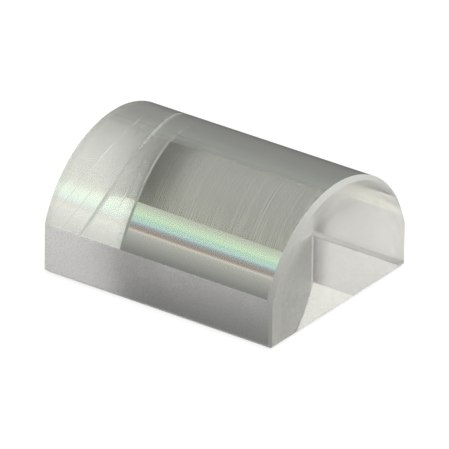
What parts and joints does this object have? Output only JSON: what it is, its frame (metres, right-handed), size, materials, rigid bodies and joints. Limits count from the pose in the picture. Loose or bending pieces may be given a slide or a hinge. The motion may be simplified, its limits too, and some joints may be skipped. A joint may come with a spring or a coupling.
{
  "type": "plano-convex cylindrical lens",
  "caption": "Short-focus plano-convex cylindrical lens: a glass block with a flat base, ground side walls and a nearly half-round polished top that focuses light to a line.",
  "frame": {"origin": "middle of the flat (plano) face, which is the face the lens rests on", "axes": "+X along the axis of the cylinder, towards one end face; +Y across the lens, towards one ground side wall; +Z the optical axis, out through the top line of the convex face"},
  "size_m": [0.012, 0.01, 0.0059],
  "materials": {
    "optical_glass": "clear crown glass: polished convex and plano faces with a thin coating, smooth end faces, fine-ground side walls and bevels"
  },
  "bodies": {
    "root": {"lens": "optical_glass"}
  },
  "joints": []
}
